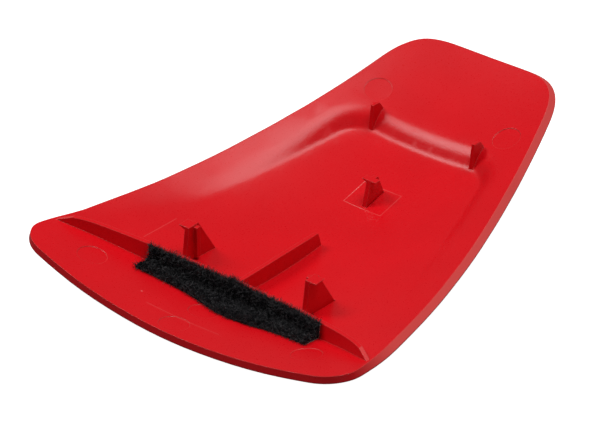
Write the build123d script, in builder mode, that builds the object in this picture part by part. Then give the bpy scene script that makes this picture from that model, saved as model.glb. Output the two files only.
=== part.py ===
"""Clip-on cover panel, lying on its outer side with its inner side up. Millimetres, +Z up.

X runs across the panel, Y from the wide front lip to the narrow rear end, and the origin is under the middle of
the whole part. Inside, a pocket floor meets a higher flange along a rolled wall that dies out towards the lip.
"""

import math
import os

from build123d import *

WALL = 2.4
# middle line of the flange surface, a parabola that flattens in front of LIP_Y
DIP_Y, DIP_Z, RISE, LIP_Y = -22.7, 1.72, 0.0024, -66.7
# (y, value): how much the flange surface bows up to the sides per mm squared, and its step over the middle line
FLANGE_BOW = [(-89, 0.00184), (-61, 0.00233), (-39, 0.00304), (-19, 0.00347), (13, 0.00356), (35, 0.00316), (92, 0.00291)]
FLANGE_STEP = [(-93, 0.3), (-26, -0.25), (-10, 0.7), (12, 1.95), (24, 2.9), (35, 3.65), (92, 2.95)]
# the same for the pocket floor
POCKET_BOW = [(-89, 0.00184), (-61, 0.0023), (-38, 0.0028), (-15, 0.0030), (5, 0.0031), (30, 0.0027), (46, 0.0025), (92, 0.0024)]
POCKET_STEP = [(-93, 0.3), (-60, 0.4), (-42, 0.7), (-9, 0.7), (15, 0.85), (26, 0.6), (46, -0.5), (92, -0.5)]
# outline of the pocket: straight rear, sides that taper by POCKET_TAPER, rounded corners
POCKET_REAR, POCKET_HALF, POCKET_TAPER, POCKET_CORNER = 46.9, 37.9, 0.24, 8.5
ROLL, ROLL_POWER = 9.0, 3.5  # width of the rolled wall, and how much steeper it is at its foot
# plan outline, right half, from the middle of the lip to the middle of the rear edge
OUTLINE = [
    (0, -88.5), (22, -87.7), (40.2, -86.1), (53.7, -84.2), (60, -82.7), (66.6, -75.3), (66.9, -71), (66.2, -62),
    (64.5, -50.7), (59.6, -24.6), (53.3, 5.4), (46.3, 34.3), (40.7, 55.4), (37.1, 68.4), (33.4, 78.2), (26.1, 85.4),
    (11.9, 88.2), (0, 88.5),
]  # fmt: skip
BEVEL, FRONT_BEVEL, LAND = 2.2, 0.5, 0.35  # width of the rim's bevel, at the lip, and the flat left under it
# ribs: the cross rib bends forward to its ends and leans back, and the centre rib runs back from it
RIB_T, RIB_LEAN = 1.5, 10.6
CROSS_Y, CROSS_ARC, CROSS_END_ARC, CROSS_HALF = -55.4, 0.0030, 1.1e-7, 64.4
CROSS_TOP, CROSS_TOP_ARC = 11.2, 0.0019
CROSS_ENDS = [(48, 15.45), (55, 16.6), (59.4, 16.9)]  # (x, z) of its top edge near its ends
CENTRE_RIB = [(-53.0, 9.5), (-48.2, 9.45), (-10.4, 8.2), (-8.4, 2.0)]
# hooks: foot of the post at the front, height of the top; along Y from that foot, the ends of the head, the rear
# end of the post's top and the gusset's foot
HOOK_X, HOOK_Y, HOOK_TOP, HOOK_RUN = 25.1, -48.3, 17.85, (1.9, 6.2, 6.6, 14.6)
CENTRE_Y, CENTRE_TOP, CENTRE_RUN = 15.2, 15.15, (2.5, 5.0, 6.5, 9.8)
POST_T, BARB, CENTRE_BARB, BARB_DROP, BARB_EDGE = 1.7, 2.5, 1.95, 1.25, 0.25
WING, WING_RUN, WING_UP = 1.3, (4.2, 5.9), 0.4
FLEX_UP, ROOT_R, GAP = 1.2, 1.7, 0.04  # flexing line above the floor, radius of the seated root, its clearance
# prongs: side outline as (y, z), thickness at the foot and at the top
PRONG_X, PRONG_T = 21.5, (2.1, 1.2)
PRONG_SIDE = [(45.9, 8), (46.2, 13.5), (47.2, 23.6), (49.0, 23.6), (50.7, 23.3), (52.3, 21.3), (56.3, 13.3), (56.3, 8)]
# ejector marks: (x, y)
MARKS = [(27.4, 58.3), (-27.4, 58.3), (44.5, -70.9), (-44.5, -70.9), (0, -81.6), (0, -67.6)]
MARK_R, MARK_DEEP = 5.0, 0.12
# pile strip, folded along the foot of the cross rib: ends, distances of its layers from the panel, leg length
STRIP_X = (-32.0, 39.5)
ADHESIVE, BACKING, PILE = (0.02, 0.2), (0.2, 0.6), (0.6, 2.2)
LEG = 7.5


def along(knots, t):
    """Smooth curve through knots that never overshoots them."""
    if t <= knots[0][0]:
        return knots[0][1]
    if t >= knots[-1][0]:
        return knots[-1][1]
    rise = [(b[1] - a[1]) / (b[0] - a[0]) for a, b in zip(knots, knots[1:])]
    tilt = [0.0] + [0.0 if p * q <= 0 else 2 * p * q / (p + q) for p, q in zip(rise, rise[1:])] + [0.0]
    i = max(n for n in range(len(knots) - 1) if knots[n][0] <= t)
    (t0, v0), (t1, v1) = knots[i], knots[i + 1]
    w, s = t1 - t0, (t - t0) / (t1 - t0)
    a = v0 * (1 + 2 * s) * (1 - s) ** 2 + v1 * s * s * (3 - 2 * s)
    return a + w * s * (1 - s) * (tilt[i] * (1 - s) - tilt[i + 1] * s)


def surface_z(x, y, bow, step):
    """Height of the flange or pocket surface."""
    t = y - DIP_Y
    mid = DIP_Z + RISE * t * t
    if y < LIP_Y:
        d, edge = LIP_Y - y, LIP_Y - DIP_Y
        mid = DIP_Z + RISE * edge * edge - 2 * RISE * edge * d - 0.001 * d * d
    return mid + along(bow, y) * x * x + along(step, y)


def foot_distance(x, y, corner=POCKET_CORNER):
    """Distance outside the foot line of the pocket's wall, negative inside."""
    side = (abs(x) - POCKET_HALF + POCKET_TAPER * (y - 8)) / math.hypot(1, POCKET_TAPER) + corner
    rear = y - POCKET_REAR + corner
    return math.hypot(max(side, 0), max(rear, 0)) + min(max(side, rear), 0) - corner


def inner_z(x, y, corner=POCKET_CORNER, soft=0.9, ahead=0.0, width=ROLL, power=ROLL_POWER):
    """Inner face: the pocket floor, then the wall rolling over into the flange."""
    d = foot_distance(x, y, corner) + ahead
    d = (d + math.sqrt(d * d + soft * soft)) / 2
    roll = 1 - max(0, 1 - d / width) ** power
    low = surface_z(x, y, POCKET_BOW, POCKET_STEP)
    return low + (surface_z(x, y, FLANGE_BOW, FLANGE_STEP) - low) * roll


def outer_z(x, y):
    """Outer face: a softer copy of the inner face, one wall thickness away."""
    slope = 2 * RISE * (y - DIP_Y), 2 * along(FLANGE_BOW, y) * x
    return inner_z(x, y, 11, 6, -0.5, ROLL + 9, 2) - WALL * math.hypot(1, *slope)


def skin(height, step):
    """Spline face through a height formula, wider than the plan all round."""
    xs = [step * i for i in range(-round(72 / step), round(72 / step) + 1)]
    ys = [step * j for j in range(-round(94 / step), round(94 / step) + 1)]
    return Face.make_surface_from_array_of_points([[(x, y, height(x, y)) for y in ys] for x in xs], tol=0.02, min_deg=3)


lean = math.radians(RIB_LEAN)
UP = (0, 0, 1)
inner_face = skin(inner_z, 1.2)
outer_face = skin(outer_z, 4.0)


def raised(lift):
    """Everything over the inner face moved up by lift."""
    with BuildPart() as over:
        extrude(inner_face.moved(Location((0, 0, lift))), amount=70, dir=UP)
    return over.part


above_inner = raised(0)
above_root = raised(-0.7)
with BuildPart() as above_outer:
    extrude(outer_face, amount=70, dir=UP)

with BuildSketch() as plan:
    with BuildLine():
        rim = Spline(OUTLINE, tangents=[(1, 0), (-1, 0)])
        Line(rim @ 1, rim @ 0)
    make_face()


def bevel_strip(count=110):
    """Spline strip through the inner ridge and the outer edge of the rim, round the right half and a little past it."""
    rows = []
    for i in range(1, count):
        p, w = rim @ (i / count), rim % (i / count)
        inward = Vector(-w.Y, w.X, 0).normalized()
        share = min(1, max(0, (p.Y + 84) / 34))
        r = p + inward * (FRONT_BEVEL + (BEVEL - FRONT_BEVEL) * share * share * (3 - 2 * share))
        ridge = Vector(r.X, r.Y, inner_z(r.X, r.Y))
        edge = Vector(p.X, p.Y, outer_z(p.X, p.Y) + LAND)
        rows.append([tuple(ridge + (edge - ridge) * t) for t in (-0.5, 0, 0.5, 1, 1.5)])
    first, last = [[(-x, y, z) for x, y, z in row] for row in (rows[0], rows[-1])]
    return Face.make_surface_from_array_of_points([first] + rows + [last], tol=0.02, min_deg=3)


def rib_y(x):
    """Foot line of the cross rib's front face at z = 0."""
    return CROSS_Y - CROSS_ARC * x * x - CROSS_END_ARC * x**4


def cross_top(x):
    return CROSS_TOP + CROSS_TOP_ARC * x * x


def rib_band(x0, x1, front, back):
    """Leaning prism along the cross rib, between two distances in front of its front face."""
    n = max(2, round((x1 - x0) / 4))
    xs = [x0 + (x1 - x0) * i / n for i in range(n + 1)]
    with BuildPart() as band:
        with BuildSketch():
            with BuildLine():
                fore = Spline([(x, rib_y(x) - front) for x in xs])
                aft = Spline([(x, rib_y(x) - back) for x in xs])
                Line(fore @ 0, aft @ 0)
                Line(fore @ 1, aft @ 1)
            make_face()
        extrude(amount=40, dir=(0, math.sin(lean), math.cos(lean)))
    return band.part


def under_crest(crest, drop):
    """Everything under a line of (x, z) points that ends by sloping to the drop point."""
    with BuildPart() as under:
        with BuildSketch(Plane.XZ):
            with BuildLine():
                ridge = Spline(crest)
                Polyline([ridge @ 1, drop, (drop[0], 0), ((ridge @ 0).X, 0), ridge @ 0])
            make_face()
        extrude(amount=120, both=True)
    return under.part


def root_rod(x, y, length, radius, extra):
    """Cylinder along a hook's flexing line, which runs level with the floor from its front foot."""
    way = Vector(0, 6, inner_z(x, y + 8) - inner_z(x, y + 2)).normalized()
    spot = Vector(x, y, inner_z(x, y)) + Vector(0, -way.Z, way.Y) * FLEX_UP
    with BuildPart() as rod:
        with BuildSketch(Plane(spot - way * extra, x_dir=(1, 0, 0), z_dir=way)):
            Circle(radius)
        extrude(amount=length + 2 * extra)
    return rod.part, spot, way


def hook_body(x, y, top, run, barb, sides, wing):
    """Post with a gusset behind it and a barb on each side asked for, standing in a round seat in the floor."""
    rod, spot, way = root_rod(x, y, run[3], ROOT_R, 0)
    floor, foot = inner_z(x, y), inner_z(x, y + run[3])
    with BuildPart() as keep:
        with BuildSketch(Plane(spot, x_dir=(1, 0, 0), z_dir=(0, -way.Z, way.Y))):
            Rectangle(30, 80)
        extrude(amount=40)
        add(rod)
    with BuildPart() as body:
        with BuildSketch(Plane((x, y, 0), x_dir=(0, 1, 0), z_dir=(1, 0, 0))):
            with BuildLine():
                Polyline((0, 0), (0, floor), (run[0], top), (run[2], top), (run[3], foot), (run[3], 0), (0, 0))
            make_face()
        extrude(amount=POST_T / 2, both=True)
        for side in sides:
            near, far = side * POST_T / 2, side * (POST_T / 2 + barb)
            with BuildSketch(Plane((x, y + run[0], top), x_dir=(1, 0, 0), z_dir=(0, -1, 0))):
                with BuildLine():
                    Polyline((near, 0), (far, 0), (far, -BARB_EDGE), (near, -BARB_DROP), (near, 0))
                make_face()
            extrude(amount=run[0] - run[1])
        add(keep.part, mode=Mode.INTERSECT)
        if wing:
            with BuildSketch(Plane.XY.offset(floor + WING_UP)):
                with Locations((x - sides[0] * (POST_T + WING) / 2, y + sum(WING_RUN) / 2)):
                    Rectangle(WING + 0.2, WING_RUN[1] - WING_RUN[0])
            extrude(amount=top - floor - WING_UP - 0.6)
    return body.part


with BuildPart() as half:
    add(plan.sketch)
    extrude(amount=70)
    add(above_outer.part, mode=Mode.INTERSECT)
    add(above_inner, mode=Mode.SUBTRACT)
    extrude(bevel_strip(), amount=70, dir=UP, mode=Mode.SUBTRACT)

with BuildPart() as ribs:
    add(rib_band(0, CROSS_HALF + 2, 0, -RIB_T))
    crest = [(x, cross_top(x)) for x in (0, 20, 38)]
    add(under_crest(crest + CROSS_ENDS, (CROSS_HALF, inner_z(CROSS_HALF, -66))), mode=Mode.INTERSECT)
    with BuildSketch(Plane.YZ):
        with BuildLine():
            Polyline(CENTRE_RIB + [(CENTRE_RIB[-1][0], 0), (CENTRE_RIB[0][0], 0), CENTRE_RIB[0]])
        make_face()
    extrude(amount=RIB_T / 2)
    add(above_root, mode=Mode.INTERSECT)

with BuildPart() as prong:
    for (y, z), thick in ((PRONG_SIDE[0], PRONG_T[0]), (PRONG_SIDE[2], PRONG_T[1])):
        with BuildSketch(Plane.XY.offset(z)):
            with Locations((PRONG_X, 51)):
                Rectangle(thick, 12)
    loft()
    with BuildSketch(Plane.YZ):
        with BuildLine():
            Polyline(PRONG_SIDE + PRONG_SIDE[:1])
        make_face()
    extrude(amount=60, mode=Mode.INTERSECT)
    add(above_root, mode=Mode.INTERSECT)


def mark_tool(x, y):
    """Shallow disc square to the inner face."""
    slope_x = inner_z(x + 0.5, y) - inner_z(x - 0.5, y)
    slope_y = inner_z(x, y + 0.5) - inner_z(x, y - 0.5)
    up = Vector(-slope_x, -slope_y, 1).normalized()
    with BuildPart() as disc:
        with BuildSketch(Plane(Vector(x, y, inner_z(x, y)) - up * MARK_DEEP, x_dir=(1, 0, slope_x), z_dir=up)):
            Circle(MARK_R)
        extrude(amount=3)
    return disc.part


with BuildPart() as cover:
    add(half.part)
    add(ribs.part)
    add(prong.part)
    for x, y in MARKS:
        if x >= 0:
            add(mark_tool(x, y), mode=Mode.SUBTRACT)
    mirror(about=Plane.YZ)
    for x, y, run in ((HOOK_X, HOOK_Y, HOOK_RUN), (-HOOK_X, HOOK_Y, HOOK_RUN), (0, CENTRE_Y, CENTRE_RUN)):
        add(root_rod(x, y, run[3], ROOT_R + GAP, GAP)[0], mode=Mode.SUBTRACT)

with BuildPart() as hook_front_right:
    add(hook_body(HOOK_X, HOOK_Y, HOOK_TOP, HOOK_RUN, BARB, [1], True))
with BuildPart() as hook_front_left:
    add(mirror(hook_front_right.part, about=Plane.YZ, mode=Mode.PRIVATE))
with BuildPart() as hook_centre:
    add(hook_body(0, CENTRE_Y, CENTRE_TOP, CENTRE_RUN, CENTRE_BARB, [1, -1], False))


def strip_layer(span, head):
    """Angle-shaped layer on the lip and the cross rib's front face, between two distances from both."""
    near, far = span
    x0, x1 = STRIP_X
    crest = [(x, cross_top(x) + head) for x in (x0, x0 / 2, 0, x1 / 2, x1)]
    with BuildPart() as core:
        add(rib_band(x0 - 1, x1 + 1, LEG + 2, far))
        add(raised(far), mode=Mode.INTERSECT)
    with BuildPart() as layer:
        add(rib_band(x0, x1, LEG, near))
        add(raised(near), mode=Mode.INTERSECT)
        add(under_crest(crest, (x1 + 0.01, 1)), mode=Mode.INTERSECT)
        add(core.part, mode=Mode.SUBTRACT)
    return layer.part


with BuildPart() as strip_adhesive:
    add(strip_layer(ADHESIVE, -0.3))
with BuildPart() as strip_backing:
    add(strip_layer(BACKING, -0.3))
with BuildPart() as strip_pile:
    add(strip_layer(PILE, 0.3))

os.makedirs("parts", exist_ok=True)
cover.part.label = "cover_panel"
export_step(cover.part, "parts/cover_panel.step")
hook_front_left.part.label = "hook_front_left"
export_step(hook_front_left.part, "parts/hook_front_left.step")
hook_front_right.part.label = "hook_front_right"
export_step(hook_front_right.part, "parts/hook_front_right.step")
hook_centre.part.label = "hook_centre"
export_step(hook_centre.part, "parts/hook_centre.step")
strip_adhesive.part.label = "strip_adhesive"
export_step(strip_adhesive.part, "parts/strip_adhesive.step")
strip_backing.part.label = "strip_backing"
export_step(strip_backing.part, "parts/strip_backing.step")
strip_pile.part.label = "strip_pile"
export_step(strip_pile.part, "parts/strip_pile.step")
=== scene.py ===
"""Looks for the clip-on cover panel: seen as a product on a white floor, inner side up."""

import math
import random

import bpy
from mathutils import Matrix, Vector, noise
from mathutils.bvhtree import BVHTree


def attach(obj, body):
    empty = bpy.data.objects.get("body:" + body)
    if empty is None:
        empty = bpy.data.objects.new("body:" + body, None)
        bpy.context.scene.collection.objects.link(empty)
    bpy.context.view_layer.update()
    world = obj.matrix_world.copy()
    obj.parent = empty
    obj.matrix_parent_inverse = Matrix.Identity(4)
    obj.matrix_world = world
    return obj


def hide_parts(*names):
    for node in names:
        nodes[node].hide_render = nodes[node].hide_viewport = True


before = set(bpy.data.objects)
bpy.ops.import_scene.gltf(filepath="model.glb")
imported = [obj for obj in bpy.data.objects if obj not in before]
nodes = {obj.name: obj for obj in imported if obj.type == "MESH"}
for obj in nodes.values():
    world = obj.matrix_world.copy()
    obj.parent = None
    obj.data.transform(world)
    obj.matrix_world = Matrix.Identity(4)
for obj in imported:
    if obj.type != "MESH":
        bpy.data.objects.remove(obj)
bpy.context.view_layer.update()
rng = random.Random(7)

# camera
EYE = Vector((0.45259, -0.57841, 0.46628))
LOOK = Vector((-0.53355, 0.65937, -0.52967))
LENS_MM, SENSOR_MM = 156, 36

# strip: ends across the panel, layers' distances from the panel, in mm
STRIP_X = (-32.0, 39.5)
ADHESIVE, BACKING, PILE = (0.02, 0.2), (0.2, 0.6), 1.8
LEAN = math.radians(10.6)
FIBRES = 14000

camera = bpy.data.objects.new("camera", bpy.data.cameras.new("camera"))
camera.data.lens, camera.data.sensor_width = LENS_MM, SENSOR_MM
camera.data.clip_start, camera.data.clip_end = 0.01, 20
camera.location = EYE
camera.rotation_mode = "QUATERNION"
camera.rotation_quaternion = LOOK.to_track_quat("-Z", "Y")
bpy.context.scene.collection.objects.link(camera)
bpy.context.scene.camera = camera
bpy.context.scene.view_settings.view_transform = "Standard"


class Shader:
    """A material's node tree, with short ways to add nodes."""

    def __init__(self, name, **sockets):
        self.mat = bpy.data.materials.new(name)
        self.mat.use_nodes = True
        self.tree = self.mat.node_tree
        self.bsdf = self.tree.nodes["Principled BSDF"]
        for key, value in sockets.items():
            self.put(self.bsdf.inputs[key.replace("_", " ")], value)

    def put(self, socket, value):
        if isinstance(value, bpy.types.NodeSocket):
            self.tree.links.new(value, socket)
        else:
            socket.default_value = value

    def node(self, kind, out=0, settings=(), **sockets):
        made = self.tree.nodes.new("ShaderNode" + kind)
        for key, value in dict(settings).items():
            setattr(made, key, value)
        for key, value in sockets.items():
            self.put(made.inputs[key.replace("_", " ")], value)
        return made.outputs[out]

    def math(self, how, *values):
        made = self.tree.nodes.new("ShaderNodeMath")
        made.operation = how
        for socket, value in zip(made.inputs, values):
            self.put(socket, value)
        return made.outputs[0]

    def step(self, value, low, high):
        """0 under low, 1 over high, smooth between; reversed where high is the smaller."""
        made = self.tree.nodes.new("ShaderNodeMapRange")
        made.interpolation_type = "SMOOTHSTEP"
        flip = high < low
        for key, v in (("Value", value), ("From Min", min(low, high)), ("From Max", max(low, high))):
            self.put(made.inputs[key], v)
        made.inputs["To Min"].default_value, made.inputs["To Max"].default_value = (1, 0) if flip else (0, 1)
        return made.outputs[0]

    def mix(self, share, a, b):
        made = self.tree.nodes.new("ShaderNodeMix")
        made.data_type = "RGBA"
        self.put(made.inputs["Factor"], share)
        self.put(made.inputs[6], a)
        self.put(made.inputs[7], b)
        return made.outputs[2]

    def split(self, vector):
        made = self.tree.nodes.new("ShaderNodeSeparateXYZ")
        self.put(made.inputs[0], vector)
        return made.outputs


def red_plastic(name, panel):
    """Satin moulded red, with a painted highlight along its rounded edges; on the panel also the rim's rougher
    band, its colour painted lighter as a highlight, and the mould's fine lines, painted light as highlights.
    """
    s = Shader(name, Roughness=0.42, Specular_IOR_Level=0.32)
    place = s.node("TexCoord", 3)
    tone = s.node("TexNoise", Vector=place, Scale=55, Detail=3)
    color = s.mix(tone, (0.57, 0.0015, 0.0055, 1), (0.66, 0.0022, 0.0075, 1))
    grain = s.node("TexNoise", Vector=place, Scale=2100, Detail=2, Roughness=0.6)
    speck = s.step(grain, 0.45, 0.75)
    color = s.mix(s.math("MULTIPLY", speck, 0.06), color, (0.85, 0.08, 0.08, 1))
    rough = s.math("ADD", 0.24, s.math("MULTIPLY", grain, 0.10))
    height = grain
    # moulded edges are slightly rounded through the bevel normal, and a painted highlight also lightens their
    # colour
    normal = s.node("Bevel", settings={"samples": 6}, Radius=0.00025)
    edge = s.node("VectorMath", 1, {"operation": "DOT_PRODUCT"})
    s.put(edge.node.inputs[0], normal)
    s.put(edge.node.inputs[1], s.node("NewGeometry", 1))
    # painted highlight: the colour is lightened towards pale red along the rounded edges
    color = s.mix(s.math("MULTIPLY", s.step(edge, 0.995, 0.86), 0.30), color, (0.90, 0.20, 0.18, 1))
    if panel:
        x, y, z = s.split(place)
        nx, ny, nz = s.split(s.node("NewGeometry", 3))
        ax = s.math("MULTIPLY", x, 1 / 0.067**2)
        ay = s.math("MULTIPLY", y, 1 / 0.0885**2)
        size = s.math("SQRT", s.math("ADD", s.math("MULTIPLY", ax, ax), s.math("MULTIPLY", ay, ay)))
        out = s.math("DIVIDE", s.math("ADD", s.math("MULTIPLY", ax, nx), s.math("MULTIPLY", ay, ny)), size)
        up = s.step(nz, 0.3, 0.45)
        # rim band facing up and outward: really rougher, and its colour painted lighter as a highlight
        rough_rim_painted_highlight = s.math("MULTIPLY", s.math("MULTIPLY", up, s.step(out, 0.12, 0.3)), s.step(y, -0.082, -0.055))
        # painted highlight: the rim band's colour is lightened
        color = s.mix(s.math("MULTIPLY", rough_rim_painted_highlight, 0.35), color, (0.72, 0.16, 0.14, 1))
        rough = s.math("ADD", rough, s.math("MULTIPLY", rough_rim_painted_highlight, 0.16))

        def line(distance, width, strength):
            near = s.step(s.math("ABSOLUTE", distance), width, width * 0.35)
            return s.math("MULTIPLY", s.math("MULTIPLY", near, up), strength)

        def within(value, low, high):
            edge = 0.0004
            return s.math("MULTIPLY", s.step(value, low, low + edge), s.step(value, high, high - edge))

        # witness frame round the centre catch; its raised line gets a bump, and its colour a painted highlight
        # that is stronger on the left half and patchy
        dx = s.math("SUBTRACT", s.math("ABSOLUTE", x), 0.0078)
        dy = s.math("SUBTRACT", s.math("ABSOLUTE", s.math("SUBTRACT", y, 0.01985)), 0.00585)
        left = s.step(x, 0.004, -0.004)
        highlight_patchiness = s.node("TexNoise", Vector=place, Scale=240, Detail=1)
        strength = s.math("MULTIPLY", highlight_patchiness, s.math("ADD", 0.38, s.math("MULTIPLY", left, 0.7)))
        lines = line(s.math("MAXIMUM", dx, dy), 0.00017, strength)
        # fine lines on the lip and the left flange, and a gate point, likewise painted light as highlights
        lip = s.math("ADD", s.math("SUBTRACT", y, s.math("MULTIPLY", x, 0.027)), 0.0773)
        lip = s.math("MULTIPLY", line(lip, 0.00014, 0.24), within(x, -0.0152, 0.0146))
        side = s.math("MULTIPLY", line(s.math("ADD", x, 0.0423), 0.00014, 0.2), within(y, -0.0488, -0.0321))
        px, py = s.math("ADD", x, 0.0208), s.math("ADD", y, 0.0735)
        dot = s.math("SQRT", s.math("ADD", s.math("MULTIPLY", px, px), s.math("MULTIPLY", py, py)))
        dot = s.math("MULTIPLY", s.step(dot, 0.00045, 0.0002), s.math("MULTIPLY", up, 0.45))
        for more in (lip, side, dot):
            lines = s.math("MAXIMUM", lines, more)
        # painted highlight: all these mould lines are lightened towards pale red; only the bump below is their
        # real relief
        color = s.mix(s.math("MULTIPLY", lines, 0.8), color, (0.90, 0.30, 0.28, 1))
        height = s.math("ADD", height, s.math("MULTIPLY", lines, 1.5))
    s.put(s.bsdf.inputs["Base Color"], color)
    s.put(s.bsdf.inputs["Roughness"], rough)
    bump = s.node("Bump", Strength=0.6, Distance=0.00006, Height=height, Normal=normal)
    s.put(s.bsdf.inputs["Normal"], bump)
    return s.mat


def textile(name, dark, light, scale, rough=0.9, shine=0.06):
    s = Shader(name, Roughness=rough, Specular_IOR_Level=shine)
    place = s.node("TexCoord", 3)
    patch = s.node("TexNoise", Vector=place, Scale=scale, Detail=4, Roughness=0.7)
    s.put(s.bsdf.inputs["Base Color"], s.mix(s.step(patch, 0.46, 0.66), dark, light))
    bump = s.node("Bump", Strength=0.6, Distance=0.0002, Height=patch)
    s.put(s.bsdf.inputs["Normal"], bump)
    return s.mat


panel_red = red_plastic("red_panel", True)
catch_red = red_plastic("red_catch", False)
for name, node in nodes.items():
    node.data.materials.clear()
    node.data.materials.append(panel_red if name == "cover_panel" else catch_red)

# heights of the panel, found by looking down and across at its mesh
panel_tree = BVHTree.FromObject(nodes["cover_panel"], bpy.context.evaluated_depsgraph_get())


def floor_at(x, y):
    """Height of the panel's inner face, mm."""
    hit = panel_tree.ray_cast(Vector((x, y, 60)) / 1000, Vector((0, 0, -1)))[0]
    return hit.z * 1000


def rib_at(x, z):
    """Y of the cross rib's front face at height z, mm."""
    hit = panel_tree.ray_cast(Vector((x, -66, z)) / 1000, Vector((0, 1, 0)))[0]
    return hit.y * 1000


def station(x):
    """Fold point, way along the lip and along the rib, and the rib leg's length, in the YZ plane at x.

    The rib's front face is followed down from near its top until it meets the lip.
    """
    probe = 10.3 + 0.0019 * x * x
    face = rib_at(x, probe)
    y = face
    for _ in range(6):
        z = floor_at(x, y - 0.5)
        y = face - (probe - z) * math.tan(LEAN)
    low = Vector((y - 0.5, z))
    far = Vector((y - 7.5, floor_at(x, y - 7.5)))
    along_lip = (far - low).normalized()
    fold = low - along_lip * 0.5
    along_rib = Vector((math.sin(LEAN), math.cos(LEAN)))
    top = 11.2 + 0.0019 * x * x
    return fold, along_lip, along_rib, (top - fold.y) / along_rib.y


STATIONS = {}


def on_strip(x, v, lift):
    """Point over the strip: v mm along its section from the fold, the lip leg negative, lifted off the panel."""
    key = round(x, 3)
    if key not in STATIONS:
        STATIONS[key] = station(x)
    fold, lip, rib, _ = STATIONS[key]
    lip_up = Vector((lip.y, -lip.x)) if lip.x < 0 else Vector((-lip.y, lip.x))
    rib_out = Vector((-rib.y, rib.x))
    inner = fold + (lip_up + rib_out).normalized() * lift * 1.25
    if v < -lift * 1.1:
        p = fold - lip * v + lip_up * lift
    elif v > lift * 1.1:
        p = fold + rib * v + rib_out * lift
    else:
        w = lift * 1.1
        a, b = fold + lip * w + lip_up * lift, fold + rib * w + rib_out * lift
        t = (v + w) / (2 * w)
        p = a * (1 - t) ** 2 + inner * 2 * t * (1 - t) + b * t * t
    return Vector((x, p.x, p.y)) / 1000


def add_piece(name, points, faces, mat):
    mesh = bpy.data.meshes.new(name)
    mesh.from_pydata(points, [], faces)
    mesh.materials.append(mat)
    mesh.update()
    mesh.shade_smooth()
    obj = bpy.data.objects.new(name, mesh)
    bpy.context.scene.collection.objects.link(obj)
    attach(obj, "panel")
    return obj


def lip_leg(x):
    """Length of the leg on the lip, which was cut by hand."""
    return 7.1 + 3.9 * math.exp(-(((x - 7) / 15) ** 2))


def rib_leg(x):
    on_strip(x, 1.0, 0.3)
    return STATIONS[round(x, 3)][3]


def layer(name, near, far, mat, slot_name, dx=1.1, dv=0.5, trim=0.0, height=None):
    """Closed angle-shaped layer between two lifts; height(x, v, edge) may move its outer side."""
    columns = round((STRIP_X[1] - STRIP_X[0]) / dx)
    rows = round((9 + 6.5) / dv)
    points, faces = [], []
    for i in range(columns + 1):
        x = STRIP_X[0] + (STRIP_X[1] - STRIP_X[0]) * i / columns
        v0, v1 = -lip_leg(x) + trim, rib_leg(x) - 0.3 - trim
        for side in (near, far):
            for j in range(rows + 1):
                v = v0 + (v1 - v0) * j / rows
                lift = side
                if height and side == far:
                    edge = min(i / columns * 71.5, (1 - i / columns) * 71.5, v - v0, v1 - v)
                    lift = height(x, v, edge)
                points.append(on_strip(x, v, lift))
    wide = 2 * (rows + 1)
    for i in range(columns):
        for j in range(rows):
            a, b = i * wide + j, (i + 1) * wide + j
            faces.append((a, a + 1, b + 1, b))
            a, b = a + rows + 1, b + rows + 1
            faces.append((a, b, b + 1, a + 1))
        for j, turn in ((0, 1), (rows, -1)):
            a, b = i * wide + j, (i + 1) * wide + j
            faces.append((a, b, b + rows + 1, a + rows + 1)[::turn])
    for i, turn in ((0, -1), (columns, 1)):
        for j in range(rows):
            a = i * wide + j
            faces.append((a, a + 1, a + rows + 2, a + rows + 1)[::turn])
    return add_piece(name, points, faces, mat)


def lumpy(x, v, edge):
    """Outer side of the matted pile."""
    spot = Vector((x, v, 0))
    lump = noise.noise(spot * 0.5) * 0.6 + noise.noise(spot * 1.6) * 0.4 + noise.noise(spot * 4.1) * 0.16
    fall = min(1, max(0, edge / 0.9)) ** 0.5
    return BACKING[1] + 0.05 + (PILE - BACKING[1] + lump) * fall


pile_black = textile("pile_black", (0.001, 0.001, 0.0015, 1), (0.008, 0.008, 0.009, 1), 900)
weave_black = textile("weave_black", (0.006, 0.006, 0.007, 1), (0.02, 0.02, 0.022, 1), 1500)
fibre_black = textile("fibre_black", (0.002, 0.002, 0.003, 1), (0.070, 0.067, 0.072, 1), 2200, 0.5, 0.3)
glue = Shader("glue", Roughness=0.35)
glue_tone = glue.node("TexNoise", Vector=glue.node("TexCoord", 3), Scale=300, Detail=2)
glue.put(glue.bsdf.inputs["Base Color"], glue.mix(glue_tone, (0.30, 0.28, 0.25, 1), (0.42, 0.40, 0.36, 1)))

adhesive = layer("tape_adhesive_film", *ADHESIVE, glue.mat, "tape_adhesive", trim=0.15)
backing = layer("tape_backing_weave", *BACKING, weave_black, "tape_backing")
pile = layer("tape_pile_mat", BACKING[1], PILE, pile_black, "tape_pile", 0.3, 0.25, height=lumpy)


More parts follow.
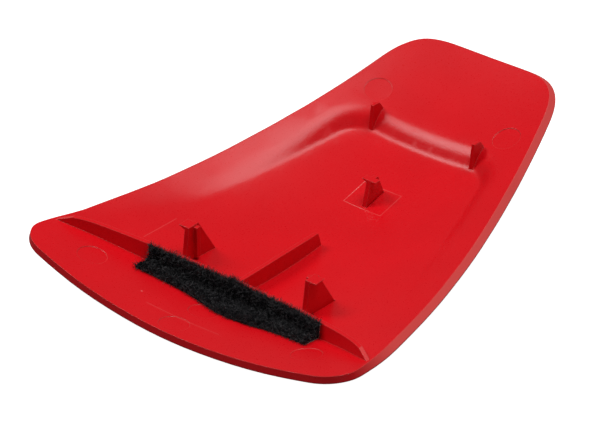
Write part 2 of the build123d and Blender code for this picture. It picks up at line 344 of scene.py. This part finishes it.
def fibre(points, faces):
    """One curled ribbon standing out of the pile."""
    x = min(max(rng.uniform(STRIP_X[0] - 0.1, STRIP_X[1] + 0.1), STRIP_X[0] + 0.1), STRIP_X[1] - 0.1)
    x = round(x / 0.25) * 0.25
    top = rib_leg(x) - 0.4
    low = 0.1 - lip_leg(x)
    v = rng.uniform(low, top)
    tuft = math.exp(-(((x - 1.5) / 3) ** 2))
    if rng.random() < 0.34 + 0.3 * tuft:
        v = rng.choice((low, top, top)) + rng.uniform(-0.2, 0.2)
    edge = min(x - STRIP_X[0], STRIP_X[1] - x, v - low, top - v)
    rise = on_strip(x, 3.0, 1.0) - on_strip(x, 2.0, 1.0)
    rise = rise.normalized() * (0.9 + 0.7 * tuft if v > top - 0.5 else 0.0)
    base = on_strip(x, v, max(lumpy(x, v, edge) - 0.25, BACKING[1]))
    up = (on_strip(x, v, 2.2) - on_strip(x, v, 0.8)).normalized()
    lean = Vector((rng.gauss(0, 1), rng.gauss(0, 1), rng.gauss(0, 1))).normalized()
    way = (up * rng.uniform(0.3, 1.0) + lean * 0.8 + rise).normalized()
    side = way.cross(Vector((rng.gauss(0, 1), rng.gauss(0, 1), rng.gauss(0, 1)))).normalized()
    turn = rng.uniform(-1, 1) * 0.9
    length = rng.uniform(1.0, 2.8) * (1 + 0.35 * tuft * (v > top - 0.5)) / 1000
    steps = 6
    width = rng.uniform(0.04, 0.09) / 1000
    spot = base + Vector((rng.uniform(-0.12, 0.12) / 1000, 0, 0))
    start = len(points)
    for k in range(steps + 1):
        taper = width * (1 - 0.55 * k / steps)
        points.extend((spot - side * taper, spot + side * taper))
        spot = spot + way * (length / steps)
        bend = way.cross(side)
        way = (way + bend * turn * 0.55 - up * 0.16).normalized()
        side = (side + lean * 0.10)
        side = (side - way * side.dot(way)).normalized()
    for k in range(steps):
        a = start + 2 * k
        faces.append((a, a + 1, a + 3, a + 2))


fibre_points, fibre_faces = [], []
for _ in range(FIBRES):
    fibre(fibre_points, fibre_faces)
fibres = add_piece("tape_pile_fibres", fibre_points, fibre_faces, fibre_black)

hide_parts("strip_adhesive")
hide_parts("strip_backing")
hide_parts("strip_pile")

# floor and light
white = Shader("floor_white", Roughness=0.9, Emission_Color=(1, 1, 1, 1), Emission_Strength=1.0)
cloud = white.node("TexNoise", Vector=white.node("TexCoord", 3), Scale=2)
white.put(white.bsdf.inputs["Base Color"], white.mix(cloud, (0.40, 0.40, 0.40, 1), (0.42, 0.42, 0.42, 1)))
bpy.ops.mesh.primitive_plane_add(size=8, location=(0, 0, -0.0002))
floor = bpy.context.object
floor.name = "floor"
floor.data.materials.append(white.mat)
# the table is only a backdrop, so it throws no light of its own on the panel
floor.visible_glossy = floor.visible_diffuse = False

world = bpy.data.worlds.new("studio")
world.use_nodes = True
world.node_tree.nodes["Background"].inputs["Color"].default_value = (1, 1, 1, 1)
world.node_tree.nodes["Background"].inputs["Strength"].default_value = 0.13
bpy.context.scene.world = world


def softbox(name, way, reach, size, power):
    lamp = bpy.data.objects.new(name, bpy.data.lights.new(name, "AREA"))
    lamp.data.shape, lamp.data.size, lamp.data.energy = "DISK", size, power
    lamp.location = Vector(way).normalized() * reach
    lamp.rotation_mode = "QUATERNION"
    lamp.rotation_quaternion = (-lamp.location).to_track_quat("-Z", "Y")
    bpy.context.scene.collection.objects.link(lamp)


softbox("key", (0.16, 0.18, 0.97), 1.2, 0.85, 10.4)
softbox("side", (-0.56, -0.26, 0.78), 1.3, 0.6, 7.5)
softbox("fill", (0.75, -0.5, 0.35), 1.6, 0.8, 1.4)
